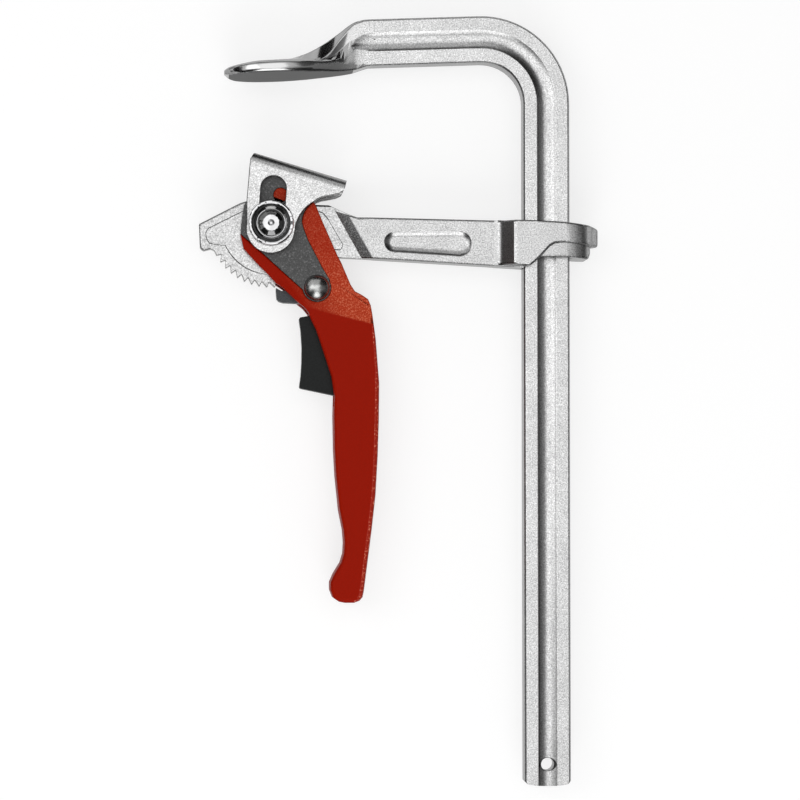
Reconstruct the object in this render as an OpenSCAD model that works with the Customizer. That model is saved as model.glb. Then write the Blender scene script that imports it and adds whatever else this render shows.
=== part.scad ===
// Ratchet lever clamp, all steel, lying on its side.
// X runs across the throat, Y runs along the rail towards the fixed jaw, and Z is the thickness.
// The rail is drawn about its own centre line. The arm, the lever and the pad are drawn about
// the main pivot, which lies at the left end of the sliding arm.

/* [Rail] */
// Width of the rail, from its throat side to its back
rail_w = 23.6; // [20:0.2:27]
// Thickness of the rail
rail_t = 12; // [10:0.2:13]
// Height of the clamp, from the free end of the rail to the back of the top arm
rail_h = 392; // [340:1:600]
// Width of the rolled groove at the surface
groove_w = 9.6; // [6:0.2:11]
// Depth of the groove
groove_d = 1.5; // [0.6:0.1:2.2]
// Chamfer along the edges of the rail
rail_edge = 0.9; // [0.4:0.1:1.5]
// Inner radius of the bend
bend_r = 21; // [16:0.5:30]
// Slope of the top arm below square
arm_slope = 2.3; // [0:0.1:4]
// Straight length of the top arm, between the bend and the neck
top_arm_l = 57; // [50:1:80]

/* [Fixed jaw] */
// Width of the jaw tongue
jaw_w = 37; // [28:1:44]
// Length of the neck and the tongue together
jaw_l = 73.6; // [66:0.2:84]
// Distance of the jaw face below the inner side of the top arm
jaw_drop = 3.4; // [2.5:0.1:5]

/* [End hole] */
// Diameter of the hole for the stop at the free end
end_hole_d = 6.6; // [4:0.2:8]
// Height of that hole above the free end
end_hole_h = 11; // [8:0.5:20]

/* [Sliding arm] */
// Distance from the main pivot to the centre line of the rail
pivot_reach = 140.6; // [130:0.2:180]
// Height of the main pivot above the free end of the rail
pivot_h = 284.8; // [120:0.2:300]
// Thickness of the beam
beam_t = 13.2; // [11:0.2:16]
// Thickness of the head around the pivot
head_t = 8; // [7:0.1:9]
// Height of the raised panel above the toothed rim, on each side
panel_step = 0.6; // [0.3:0.1:1]
// Width of the collar, across the rail's thickness
collar_t = 29; // [26:0.5:34]
// Clearance between the collar and the rail, on each side
slide_gap = 0.35; // [0.2:0.05:0.6]
// Depth of the oblong recess in the beam
recess_d = 1.6; // [0.5:0.1:2.5]

/* [Ratchet] */
// Radius over the tips of the ratchet teeth
tooth_r = 31.5; // [30.5:0.1:32]
// Depth of the ratchet teeth
tooth_d = 2.3; // [1.6:0.1:2.5]
// Teeth in a full turn
teeth_per_turn = 50; // [50:5:60]
// Number of teeth that are cut
teeth_n = 14; // [10:1:14]
// Angle that lifts the pawl from the bottom of the teeth to just clear of their tips
pawl_lift = 8; // [7:0.5:10]

/* [Pivot] */
// Diameter of the main pivot rivet
pivot_d = 12.6; // [10:0.1:12.8]
// Diameter of the riveted nubs
nub_d = 7.4; // [5:0.1:8.5]
// Outer diameter of the cup washers
cup_d = 22.8; // [18:0.2:24]
// Height of the cup washers
cup_h = 3; // [2:0.1:4]
// Running clearance of the pivots, on the radius
run_gap = 0.05; // [0.03:0.01:0.09]
// Side clearance between the stacked plates
side_gap = 0.3; // [0.2:0.05:0.4]

/* [Lever] */
// Thickness of the floor of each fork cheek
floor_t = 2.1; // [1.5:0.1:3]
// Thickness of the handle
handle_t = 21; // [18:0.5:26]
// Lengthening of the handle, beyond its usual length
handle_extra = 0; // [-20:1:60]
// Distance from the main pivot to the pawl rivet
pawl_dist = 39.7; // [39:0.1:41]
// Diameter of the pawl rivet's shank
pawl_pin_d = 6; // [4:0.1:7]
// Diameter of the pawl rivet's domed heads
dome_d = 13.2; // [10:0.2:14]

/* [Cam plates] */
// Thickness of the cam plates
cam_t = 2.4; // [1.5:0.1:3]
// Rise of the cam for each radian of the lever
cam_rise = 8.5; // [6:0.1:9]

/* [Pressure pad] */
// Thickness of the folded sheet
pad_t = 3.2; // [2.5:0.1:4]
// Distance from the main pivot to the inner side of the web
web_dist = 29.1; // [28:0.1:33]
// Slope of the web
web_slope = 16.5; // [10:0.5:20]
// Length of the slot, between the centres of its ends
slot_l = 20.5; // [18:0.5:22]
// Outer radius of the folds
fold_r = 5.6; // [4.5:0.1:8]

/* [Hidden] */
$fn = 64;
eps = 0.05;

// Levels above the mid-plane, from the head of the arm outwards.
head_z = head_t / 2;
rim_z = head_z - panel_step;
floor_z = head_z + side_gap;
cam_z = floor_z + floor_t;
cam_top = cam_z + cam_t;
flange_z = cam_top + side_gap + 0.2;
pad_z = flange_z + pad_t;
cup_z = pad_z + side_gap / 2;
cup_base = 0.6;
head_r = 7;
nub_z = cup_z + cup_h - 0.3;
slot_gap = floor_z;
pawl_z = floor_z - 0.5;

// The clamp is centred on its box, and lies on the side of the fixed jaw.
nose_x = -36.3;
collar_back = 26.8;
bend_x = -rail_w / 2 - bend_r;
bend_y = rail_h - bend_r - rail_w;
box_x = (nose_x - pivot_reach + collar_back) / 2;
box_y = rail_h / 2;
lie_z = max(jaw_w / 2, nub_z, collar_t / 2);

// Angle of one tooth, and of the first tooth tip at the nose end.
pitch_a = 360 / teeth_per_turn;
first_tooth = -151.3;
pawl_a = -54.2;
pawl_x = pawl_dist * cos(pawl_a);
pawl_y = pawl_dist * sin(pawl_a);

// Red boss of the lever that carries the cam plate.
boss_x = 5;
boss_y = 14.7;
boss_r = 3.7;

// Slot of the pad, whose lower end lies this far under the pivot with the lever closed.
slot_low = 2.9;
slot_a = 4.2;
slot_r = pivot_d / 2 + 0.15;
web_a = 90 - web_slope;

module at_rail() {
    translate([-box_x, -box_y, lie_z]) children();
}

module at_pivot() {
    translate([-box_x - pivot_reach, pivot_h - box_y, lie_z]) children();
}

// Flat solid of an outline, between two levels.
module slab(z0, z1) {
    translate([0, 0, z0]) linear_extrude(height = z1 - z0) children();
}

// The same solid on both sides of the mid-plane.
module both_sides() {
    children();
    mirror([0, 0, 1]) children();
}

module hole(x, y, d, z) {
    translate([x, y, -z]) cylinder(h = 2 * z, d = d);
}

// Rail

// Radius of the groove, and its arc from one edge to the other.
groove_r = (groove_w * groove_w / 4 + groove_d * groove_d) / (2 * groove_d);
groove_arc = [for (i = [-6 : 6]) let (a = asin(groove_w / 2 / groove_r) * i / 6)
    [groove_r * sin(a), groove_r * (1 - cos(a)) - groove_d]];

module rail_section(inset = 0) {
    t = rail_t / 2 - inset;
    e = rail_edge;
    l = inset;
    r = rail_w - inset;
    difference() {
        polygon([[l + e, -t], [r - e, -t], [r, e - t], [r, t - e],
                 [r - e, t], [l + e, t], [l, t - e], [l, e - t]]);
        for (s = [-1, 1]) scale([1, s]) translate([rail_w / 2, t])
            polygon(concat([[-groove_w / 2, 1]], groove_arc, [[groove_w / 2, 1]]));
    }
}

// Straight stretch, a hair smaller than the bend that it runs into.
module rail_run(from, to) {
    translate([0, from, 0]) rotate([-90, 0, 0]) linear_extrude(height = to - from)
        rail_section(0.01);
}

// Stations of the neck and tongue along the arm: share of the length, height of the top as a
// share of the rail's width, drop of the underside as a share of the jaw drop, growth of the half
// width. Then, as shares of the height and the half width there: width of the top, height and
// width of the ridge, of the hollow under it, height of the upper and lower edge, width of the foot.
neck = [
    [-0.05, 1, 0, 0, 0.85, 0.96, 1, 0.73, 1, 0.5, 0.04, 0.85],
    [0, 1, 0, 0, 0.85, 0.96, 1, 0.73, 1, 0.5, 0.04, 0.85],
    [0.045, 0.985, 0.25, 0.01, 0.80, 0.95, 0.98, 0.72, 0.97, 0.45, 0.07, 0.85],
    [0.11, 0.92, 0.65, 0.06, 0.62, 0.93, 0.93, 0.66, 0.88, 0.38, 0.12, 0.86],
    [0.20, 0.725, 0.85, 0.21, 0.40, 0.79, 0.82, 0.54, 0.68, 0.31, 0.15, 0.88],
    [0.30, 0.52, 0.93, 0.44, 0.30, 0.50, 0.74, 0.42, 0.72, 0.33, 0.16, 0.90],
    [0.40, 0.345, 0.97, 0.67, 0.34, 0.66, 0.66, 0.55, 0.84, 0.44, 0.18, 0.92],
    [0.50, 0.225, 1.05, 0.86, 0.38, 0.80, 0.72, 0.70, 0.89, 0.56, 0.20, 0.93],
    [0.59, 0.165, 1.07, 0.97, 0.42, 0.91, 0.78, 0.80, 0.92, 0.64, 0.22, 0.94],
    [0.68, 0.145, 1.07, 1, 0.42, 0.93, 0.80, 0.83, 0.93, 0.66, 0.23, 0.94],
    [0.775, 0.138, 1.07, 0.95, 0.42, 0.93, 0.80, 0.83, 0.93, 0.66, 0.23, 0.94],
    [0.855, 0.115, 1.05, 0.80, 0.42, 0.92, 0.78, 0.82, 0.92, 0.66, 0.24, 0.93],
    [0.925, 0.09, 0.98, 0.53, 0.42, 0.90, 0.76, 0.80, 0.91, 0.65, 0.26, 0.90],
    [0.97, 0.065, 0.8, 0.21, 0.42, 0.88, 0.74, 0.78, 0.90, 0.62, 0.30, 0.86],
    [1, 0.015, 0.45, -0.24, 0.42, 0.86, 0.72, 0.76, 0.88, 0.60, 0.34, 0.82]
];

function blend4(a, b, c, d, t) =
    0.5 * (2 * b + (c - a) * t + (2 * a - 5 * b + 4 * c - d) * t * t
    + (3 * b - a - 3 * c + d) * t * t * t);

function station(k) =
    let (i = min(floor(k), len(neck) - 2), t = k - i,
         a = neck[max(i - 1, 0)], b = neck[i], c = neck[i + 1], d = neck[min(i + 2, len(neck) - 1)])
    k <= 1 ? b + (c - b) * t : blend4(a, b, c, d, t);

// Ring of a station: down the front from the middle of the top, and back up the rear.
function neck_ring(s) =
    let (x = s[0] * jaw_l, low = -s[2] * jaw_drop, h = s[1] * rail_w - low,
         w = rail_t / 2 + s[3] * (jaw_w - rail_t) / 2 - (s[0] < 0.1 ? 0.03 : 0),
         half = [[1, s[4]], [s[5], s[6]], [s[7], s[8]], [s[9], 1], [s[10], 1], [0, s[11]]])
    concat([[low + h - 0.03, x, 0]], [for (p = half) [low + p[0] * h - 0.03, x, p[1] * w]],
        [[low - 0.03, x, 0]], [for (i = [5 : -1 : 0]) [low + half[i][0] * h - 0.03, x, -half[i][1] * w]]);

module neck_loft() {
    sides = 14;
    last = 3 * (len(neck) - 1);
    pts = [for (k = [0 : last]) each neck_ring(station(k / 3))];
    walls = [for (k = [0 : last - 1], i = [0 : sides - 1]) let (j = (i + 1) % sides)
        each [[k * sides + i, k * sides + j, (k + 1) * sides + j],
              [k * sides + i, (k + 1) * sides + j, (k + 1) * sides + i]]];
    polyhedron(pts, concat(walls, [[for (i = [0 : sides - 1]) sides - 1 - i]],
        [[for (i = [0 : sides - 1]) last * sides + i]]));
}

module rail_frame() {
    color([0.80, 0.80, 0.80]) at_rail() difference() {
        union() {
            translate([bend_x, bend_y, 0]) {
                translate([bend_r, 0, 0]) rail_run(-bend_y, 0.3);
                rotate_extrude(angle = 90 + arm_slope, $fn = 96)
                    translate([bend_r, 0]) rail_section();
                rotate([0, 0, 90 + arm_slope]) translate([bend_r, 0, 0]) {
                    rail_run(-0.3, top_arm_l);
                    translate([0, top_arm_l, 0]) difference() {
                        neck_loft();
                        translate([-20 - jaw_drop, -5, -jaw_w])
                            cube([20, jaw_l + 20, 2 * jaw_w]);
                        // Run-out of the groove.
                        both_sides() translate([rail_w / 2, -0.06 * jaw_l, rail_t / 2 - groove_d + groove_r])
                            scale([1, 2.6, 1]) sphere(r = groove_r, $fn = 72);
                    }
                }
            }
        }
        // Rounded free end with broken corners.
        difference() {
            translate([-rail_w, -1, -rail_t]) cube([2 * rail_w, 4, 2 * rail_t]);
            translate([0, rail_w * 2.2, -rail_t - 1]) cylinder(h = 2 * rail_t + 2, r = rail_w * 2.2, $fn = 180);
        }
        for (s = [-1, 1]) translate([s * rail_w / 2, 0, 0]) rotate([0, 0, 45])
            cube([3.6, 3.6, 2 * rail_t], center = true);
        hole(0, end_hole_h, end_hole_d, rail_t);
        both_sides() translate([0, end_hole_h, rail_t / 2 - groove_d - 0.5])
            cylinder(h = 3, d1 = end_hole_d - 0.2, d2 = end_hole_d + 4.4);
    }
}

// Sliding arm

// Rim of the ratchet, from the first tooth tip to the last, grown by a clearance.
function ratchet(grow) =
    [for (i = [0 : teeth_n - 1]) let (a = first_tooth + i * pitch_a, r = tooth_r + grow,
            g = grow / tooth_r * 57.3)
        each [[r * cos(a - g), r * sin(a - g)], [r * cos(a + 0.8 + g), r * sin(a + 0.8 + g)],
              [(r - tooth_d) * cos(a + 1.9 + g), (r - tooth_d) * sin(a + 1.9 + g)],
              [(r - tooth_d) * cos(a + 2.8 - g), (r - tooth_d) * sin(a + 2.8 - g)]]];

last_tooth = first_tooth + teeth_n * pitch_a;

module head_outline() {
    polygon(concat(ratchet(0), [
        [tooth_r * cos(last_tooth), tooth_r * sin(last_tooth)],
        [tooth_r * cos(last_tooth + 12), tooth_r * sin(last_tooth + 12)],
        [27.5, -16], [36, -16.4], [46, -16.8], [52, -16.6], [52, 3.8], [43.9, 4.1], [38.4, 6.3],
        [31.8, 9.2], [29.6, 10.2], [23.5, 10.4], [8, 12.4], [-6, 13.1], [-11.9, 12.2],
        [-15.3, 11.2], [-34.6, 1.2], [nose_x + 0.4, 0.7], [nose_x, 0], [nose_x + 0.5, -11.5],
        [-35, -12.9], [-33.7, -13.2], [-30.3, -12.3], [-28.6, -13]]));
}

// The panel stands proud of the rim, inside the teeth.
module panel_outline() {
    polygon([[-14.2, 6.9], [-28, 0], [-32.1, -2.2], [-32.9, -4.5], [-32.5, -7.2], [-31.2, -9.5],
             [-28.5, -10.2], [-23.2, -10.5], [-17, -18], [-10, -23], [0, -25.3], [12, -22.4],
             [22, -13], [35.4, -12.4], [36.4, -11], [36.6, -9.6], [31.8, -1.5], [28.7, 3.9],
             [26.6, 6.3], [24.8, 6.9], [8, 9.2], [-6, 9.8]]);
    difference() {
        circle(r = 25.3, $fn = 96);
        translate([-60, -8]) square([120, 80]);
        translate([20, -60]) square([60, 80]);
    }
}

// Slope of the ramp's foot against square, and the width of the ramp.
ramp_a = 29.3;
ramp_w = 5.2;

module beam_outline() {
    polygon([[31.8, 7.4], [38.4, 5.3], [43.9, 3.9], [51.6, 3.9], [pivot_reach - 20, 2.6],
             [pivot_reach - 16, 2.6], [pivot_reach - 12, 0], [pivot_reach - 12, -21.3],
             [34.9, -16.1], [30, -12]]);
}

module recess_outline() {
    l = [62.8, -8.6, 5.1];
    r = [pivot_reach - 44.8, -9.3, 6.4];
    translate([l[0], l[1]]) circle(r = l[2]);
    translate([r[0], r[1]]) circle(r = r[2]);
    polygon([[l[0], l[1] - l[2]], [r[0], r[1] - r[2]], [r[0], r[1] + r[2]], [l[0], l[1] + l[2]]]);
}

// Outline of the collar seen along the rail: flared from the beam, rounded at the back.
module collar_plan(h) {
    b = beam_t / 2;
    top = [[-27, b], [-25.2, b + 0.25], [-23.8, b + 0.9], [-22.6, b + 2], [-18.6, h - 1.7],
           [-17.7, h - 0.6], [-16.6, h], [9, h], [13.6, h - 0.3], [17.2, h - 1.3], [19.8, h - 3.1],
           [21.8, h - 5.4], [22.9, h - 8.4], [24, h - 9.4], [collar_back, 0.6], [collar_back, 0]];
    polygon(concat(top, [for (i = [len(top) - 1 : -1 : 0]) [top[i][0], -top[i][1]]]));
}

module collar() {
    intersection() {
        slab(-collar_t, collar_t) polygon([
            [-27, -20], [-9.3, -20.7], [-7, -19], [-3.1, -15.1], [0.7, -10.9], [3.5, -9.3],
            [8.4, -8.9], [16.2, -9.7], [22, -10.8], [27, -10.4], [27, -0.9], [22.3, 0.2],
            [17.8, 0.4], [9.2, 1.4], [-5.4, 2.2], [-16, 2.4], [-27, 2.7]]);
        translate([0, -60, 0]) rotate([-90, 0, 0]) linear_extrude(height = 100)
            collar_plan(collar_t / 2);
    }
    intersection() {
        slab(-collar_t, collar_t) polygon([
            [-12, -20.9], [-9.3, -20.7], [-4.4, -16.3], [9.5, -16.1], [21.2, -17.2], [22.2, -14],
            [22.2, -6], [-12, -6]]);
        translate([0, -60, 0]) rotate([-90, 0, 0]) linear_extrude(height = 100)
            collar_plan(collar_t / 2 - 2.4);
    }
}

module sliding_arm() {
    b = beam_t / 2;
    color([0.84, 0.84, 0.84]) at_pivot() difference() {
        union() {
            slab(-rim_z, rim_z) head_outline();
            slab(-head_z, head_z) panel_outline();
            // Beam, ramped down to the head beside the swing of the lever.
            difference() {
                slab(-b, b) beam_outline();
                both_sides() translate([32.1, 8.2, 0]) rotate([90, 0, ramp_a]) translate([0, 0, -30])
                    linear_extrude(height = 80) polygon([[-90, rim_z], [0, rim_z],
                        [ramp_w - 0.6, b - 0.3], [ramp_w + 0.6, b + 0.01], [ramp_w + 0.6, b + 5],
                        [-90, b + 5]]);
            }
            translate([pivot_reach, 0, 0]) collar();
        }
        both_sides() hull() {
            slab(b - recess_d, b) offset(delta = -3.4) recess_outline();
            slab(b - recess_d * 0.88, b) offset(delta = -2.2) recess_outline();
            slab(b - recess_d * 0.55, b) offset(delta = -1) recess_outline();
            slab(b, b + 0.5) recess_outline();
        }
        hole(0, 0, pivot_d + 2 * run_gap, 20);
        translate([pivot_reach - rail_w / 2 - slide_gap, -60, -rail_t / 2 - slide_gap])
            cube([rail_w + 2 * slide_gap, 120, rail_t + 2 * slide_gap]);
    }
}

// Lever

// The rim of the pocket, that the cam plate lies in, from the left end round the rivet to the tip.
pocket_left = [[-15.4, -5.2], [-13.9, -6.5], [-4.5, -14.6], [5.1, -23.4], [16.9, -34]];
pocket_right = [[30, -28.6], [26.1, -22.2], [18.8, -8.1], [17.1, -3.5], [16.2, -1.1], [15.7, 1.3],
                [16.1, 3.7], [16.9, 5.9], [18.1, 8.1], [19.8, 9.8], [21.6, 11.3]];

lever_left = [[-15.4, -5.2], [-13.7, -12.5], [-7.5, -19.3], [-0.9, -25.9], [2.5, -29.7],
              [6.2, -32.2], [14.2, -40], [16.6, -41.8], [18.9, -44.7], [20.5, -48.5], [23, -53.6],
              [26.8, -65], [30.7, -77.1], [32.1, -86.8], [31.8, -96.5], [32.1, -113.7],
              [32.8, -126.9], [34.6, -144.6], [36.6, -154.7], [37.1, -161], [36.8, -166.4],
              [35.4, -171.1], [31.9, -176.8], [30, -181.1], [30, -185], [31.5, -188.9],
              [34.3, -190.8], [37.4, -191.4]];
lever_right = [[42, -191.4], [44.7, -190.4], [46.3, -188.5], [47, -185], [49, -169.4],
               [50.9, -154.7], [52.9, -136.9], [54, -117.5], [54.6, -99], [54.8, -80.5],
               [53.1, -58.6], [51.4, -46], [50.6, -41.1], [49.2, -37.8], [45.9, -35.6],
               [42.6, -33.9], [40.4, -30.6], [35.5, -19.1], [33.8, -16], [26.9, -0.3],
               [22.8, 9.5]];

// A longer handle grows at its middle.
function stretched(list) = [for (p = list) p[1] < -120 ? [p[0], p[1] - handle_extra] : p];

module lever_outline() {
    polygon(concat(stretched(lever_left), stretched(lever_right),
        [for (i = [len(pocket_right) - 1 : -1 : 0]) pocket_right[i]],
        [[19, -20], [0, -8]]));
}

module pocket_outline() {
    polygon(concat(pocket_left, pocket_right, [[12, 24], [-20, 24], [-20, -5.2]]));
    translate([pawl_x, pawl_y]) circle(r = dome_d / 2 + 0.6);
}

module floor_outline() {
    polygon([[-15.2, -5.4], [-13.4, 1], [-12.4, 6], [-7, 13.5], [-1, 18.8], [5, 20.9], [10.5, 18.4],
             [13.5, 12.5], [17, 8.6], [21.2, 10.9], [26, -4], [30, -28], [20, -36], [2, -28],
             [-13.6, -12.2]]);
}

// Room for the pawl, the trigger and the spring, open towards the throat.
module slot_outline() {
    polygon([[-30, 40], [-30, -92], [34, -92], [44, -88], [47.5, -80], [47.2, -66], [44, -52],
             [38, -42], [34.5, -33], [35.5, -27], [60, -20], [60, 40]]);
}

// Thickness of the lever along its length: full at the handle, down to the cheeks at the head.
module lever_side() {
    h = handle_t / 2;
    k = cam_top + 0.2;
    translate([38, -47.3, 0]) rotate([90, 0, 76]) translate([0, 0, -120]) linear_extrude(height = 240)
        polygon([[-260, -h + 0.8], [-100, -h], [0, -h], [9, -k], [110, -k],
                 [110, k], [9, k], [0, h], [-100, h], [-260, h - 0.8]]);
}

module lever_handle() {
    color([0.62, 0.13, 0.05]) at_pivot() difference() {
        union() {
            intersection() {
                slab(-handle_t, handle_t) lever_outline();
                lever_side();
            }
            slab(-cam_z, cam_z) floor_outline();
            both_sides() translate([boss_x, boss_y, cam_z - eps])
                cylinder(h = cam_t + eps, r = boss_r);
        }
        both_sides() difference() {
            slab(cam_z, handle_t) pocket_outline();
            translate([boss_x, boss_y, 0]) cylinder(h = cam_top, r = boss_r);
        }
        slab(-slot_gap, slot_gap) slot_outline();
        slab(-slot_gap, slot_gap) circle(r = tooth_r + 1.2);
        hole(0, 0, pivot_d + 2 * run_gap, 30);
        hole(pawl_x, pawl_y, pawl_pin_d + 2 * run_gap, 30);
    }
}

// Cam plates

// The cam meets the inner round of the fold, this far below the web.
fold_ir = fold_r - pad_t;
cam_seat = fold_ir - sqrt(fold_ir * fold_ir - pow(max(cam_top - flange_z + fold_ir, 0), 2));

// Involute lift curve of the cam, seen from the pivot in the direction b.
function cam_point(b) =
    let (lift = web_dist - cam_seat - 0.2 - cam_rise * (b - web_a) * PI / 180)
    [lift * cos(b) + cam_rise * sin(b), lift * sin(b) - cam_rise * cos(b)];

module cam_outline() {
    c = 0.15;
    difference() {
        union() {
            polygon(concat(
                [for (b = [web_a - pitch_a : pitch_a : web_a + 12 * pitch_a + 0.01]) cam_point(b)],
                [[-13.5, 9.5], [-14.6, 3], [-15.1, -2], [-15.2, -5.1]],
                [for (p = [for (i = [1 : 4]) pocket_left[i]]) p + [c * 0.67, c * 0.75]],
                [for (i = [0 : len(pocket_right) - 1]) pocket_right[i] - [c, -c / 2]],
                [[21.2, 14]]));
            translate([pawl_x, pawl_y]) circle(r = dome_d / 2 + 0.45);
        }
        translate([boss_x, boss_y]) circle(r = boss_r + run_gap);
        circle(d = pivot_d + 2 * run_gap);
        translate([pawl_x, pawl_y]) circle(d = pawl_pin_d + 2 * run_gap);
    }
}

module cam_plate() {
    slab(cam_z + 0.02, cam_top) cam_outline();
}

module cam_plate_front() {
    color([0.30, 0.30, 0.30]) at_pivot() cam_plate();
}

module cam_plate_rear() {
    color([0.30, 0.30, 0.30]) at_pivot() mirror([0, 0, 1]) cam_plate();
}

// Pawl and trigger

// Turns about the pawl rivet.
module about_pawl(a) {
    translate([pawl_x, pawl_y, 0]) rotate([0, 0, a]) translate([-pawl_x, -pawl_y, 0]) children();
}

tail_t = 4;
pin_x = 26.3;
pin_y = -57;

module pawl() {
    color([0.20, 0.20, 0.21]) at_pivot() about_pawl(pawl_lift) difference() {
        union() {
            slab(-pawl_z, pawl_z) difference() {
                polygon([[2.5, -34.6], [2.9, -28], [9, -27], [20, -26], [29, -29], [29.5, -36],
                         [24, -39.2], [14, -38.6], [5.6, -37], [3.4, -36]]);
                polygon(concat(ratchet(0.2), [[60, 0], [0, 60], [-60, 0]]));
                difference() {
                    circle(r = tooth_r + 0.35, $fn = 96);
                    translate([-90 + tooth_r * cos(first_tooth + 10 * pitch_a + 1), -60])
                        square([90, 120]);
                }
            }
            slab(-tail_t / 2, tail_t / 2) about_pawl(-pawl_lift)
                polygon([[18, -34], [27.5, -34], [29, -64], [22, -64], [19.5, -46]]);
        }
        hole(pawl_x, pawl_y, pawl_pin_d + 2 * run_gap, 20);
        about_pawl(-pawl_lift) hole(pin_x, pin_y, 3 + 2 * run_gap, 20);
    }
}

module trigger() {
    c = 0.1;
    t = slot_gap - 0.3;
    color([0.10, 0.10, 0.11]) at_pivot() difference() {
        slab(-t, t) polygon([
            [14.4, -47.6], [14.9, -46.9], [20.4, -45.9], [31, -45.9], [32, -60], [34, -74], [37, -85],
            [36.6, -87], [32.6, -86.6], [15.2, -83], [14.5, -82.4], [15.3, -76.4], [15.7, -70],
            [15.8, -62], [15.3, -54]]);
        slab(-tail_t / 2 - c, tail_t / 2 + c)
            polygon([[19.3, -44], [28.2, -44], [29.2, -64.2], [21.8, -64.2], [19.3, -46]]);
        hole(pin_x, pin_y, 3 + 2 * run_gap, 20);
        // Seat of the spring.
        translate([32.6, -76, 0]) rotate([0, 90, 0]) cylinder(h = 8, d = 5.4);
    }
}

module trigger_pin() {
    color([0.6, 0.6, 0.62]) at_pivot() hole(pin_x, pin_y, 3, slot_gap - 0.4);
}

module pawl_pin() {
    dome_h = 3.6;
    r = (dome_h * dome_h + dome_d * dome_d / 4) / (2 * dome_h);
    color([0.75, 0.75, 0.76]) at_pivot() translate([pawl_x, pawl_y, 0]) {
        cylinder(h = 2 * cam_top + 0.2, d = pawl_pin_d, center = true);
        both_sides() translate([0, 0, cam_top + 0.05]) intersection() {
            translate([0, 0, dome_h - r]) sphere(r = r, $fn = 96);
            cylinder(h = dome_h + 1, d = dome_d);
        }
    }
}

// Coil between the trigger and the back wall of the slot.
module trigger_spring() {
    turns = 6;
    wire = 0.8;
    x0 = 33;
    x1 = 47;
    pts = [for (k = [0 : turns * 12]) let (a = 30 * k)
        for (i = [0 : 5]) let (b = 60 * i, r = 2 + wire / 2 * cos(b))
            [x0 + (x1 - x0) * k / (turns * 12) + wire / 2 * sin(b), r * cos(a), r * sin(a)]];
    last = turns * 12;
    walls = [for (k = [0 : last - 1], i = [0 : 5]) let (j = (i + 1) % 6)
        each [[k * 6 + i, (k + 1) * 6 + j, k * 6 + j], [k * 6 + i, (k + 1) * 6 + i, (k + 1) * 6 + j]]];
    color([0.65, 0.65, 0.66]) at_pivot() translate([0, -76, 0])
        polyhedron(pts, concat(walls, [[0, 1, 2, 3, 4, 5]],
            [[for (i = [5 : -1 : 0]) last * 6 + i]]));
}

// Pressure pad

web_out = web_dist + pad_t;

module flange_outline() {
    difference() {
        union() {
            polygon([[-8.2, 36.4], [-10.4, 32.7], [-12.1, 12.3], [-12.2, -slot_low], [0, -slot_low],
                     [12.2, -slot_low], [12.5, 0], [21.9, 11.3], [23.7, 12.6], [26.1, 13.6],
                     [30.4, 14.4], [34, 15.2], [36.3, 16.3], [37.2, 17.8], [38.6, 22.6], [14, 50],
                     [-8.2, 50]]);
            translate([-slot_low * sin(slot_a), -slot_low]) circle(r = 12.2);
        }
        translate([30.6, -5.4]) circle(r = 18.7, $fn = 96);
        rotate(-slot_a) {
            translate([0, -slot_low]) circle(r = slot_r);
            translate([0, slot_l - slot_low]) circle(r = slot_r);
            translate([-slot_r, -slot_low]) square([2 * slot_r, slot_l]);
        }
    }
}

// Cross-section of the folded sheet, with its web outwards.
module fold_section() {
    w = pad_z;
    difference() {
        union() {
            translate([-30, -w]) square([30 + web_out - fold_r, 2 * w]);
            translate([-30, fold_r - w]) square([30 + web_out, 2 * (w - fold_r)]);
            for (s = [-1, 1]) translate([web_out - fold_r, s * (w - fold_r)]) circle(r = fold_r);
        }
        ir = fold_ir;
        translate([-31, -flange_z]) square([31 + web_dist - ir, 2 * flange_z]);
        translate([-31, ir - flange_z]) square([31 + web_dist, 2 * (flange_z - ir)]);
        for (s = [-1, 1]) translate([web_dist - ir, s * (flange_z - ir)]) circle(r = ir);
    }
}

module pressure_pad() {
    color([0.82, 0.82, 0.82]) at_pivot() intersection() {
        slab(-pad_z - 1, pad_z + 1) flange_outline();
        rotate([0, 0, web_a]) translate([0, 40, 0]) rotate([90, 0, 0])
            linear_extrude(height = 90) fold_section();
    }
}

// Main pivot

module pivot_pin() {
    color([0.78, 0.78, 0.80]) at_pivot() difference() {
        union() {
            cylinder(h = 2 * (cup_z - 0.02), d = pivot_d, center = true);
            cylinder(h = 2 * nub_z, d = nub_d, center = true);
            // Formed head, crowned towards the nub.
            both_sides() translate([0, 0, cup_z + cup_base]) rotate_extrude($fn = 96) polygon([
                [0, 0.08], [head_r - 0.1, 0.08], [head_r, 0.2], [head_r - 0.4, 0.6],
                [head_r - 1.6, 1.3], [head_r - 2.8, 1.8], [nub_d / 2 + 0.1, 1.9], [0, 1.9]]);
        }
        both_sides() translate([0, 0, nub_z - 1.6]) cylinder(h = 2, d1 = 1.2, d2 = 4);
    }
}

module cup_washer() {
    r = cup_d / 2;
    b = nub_d / 2 + run_gap;
    translate([0, 0, cup_z]) rotate_extrude($fn = 96) polygon([
        [b, 0], [r - 2.2, 0], [r - 0.6, 0.5], [r, 1.3], [r, cup_h - 0.8], [r - 0.4, cup_h - 0.2],
        [r - 1, cup_h], [r - 1.6, cup_h - 0.2], [r - 2.3, cup_h - 1], [r - 3.1, cup_h - 1.9],
        [r - 4, cup_base + 0.1], [r - 4.2, cup_base], [b, cup_base]]);
}

module cup_washer_front() {
    color([0.78, 0.78, 0.80]) at_pivot() cup_washer();
}

module cup_washer_rear() {
    color([0.78, 0.78, 0.80]) at_pivot() mirror([0, 0, 1]) cup_washer();
}

rail_frame();
sliding_arm();
lever_handle();
cam_plate_front();
cam_plate_rear();
pawl();
trigger();
trigger_pin();
pawl_pin();
trigger_spring();
pressure_pad();
pivot_pin();
cup_washer_front();
cup_washer_rear();
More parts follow.
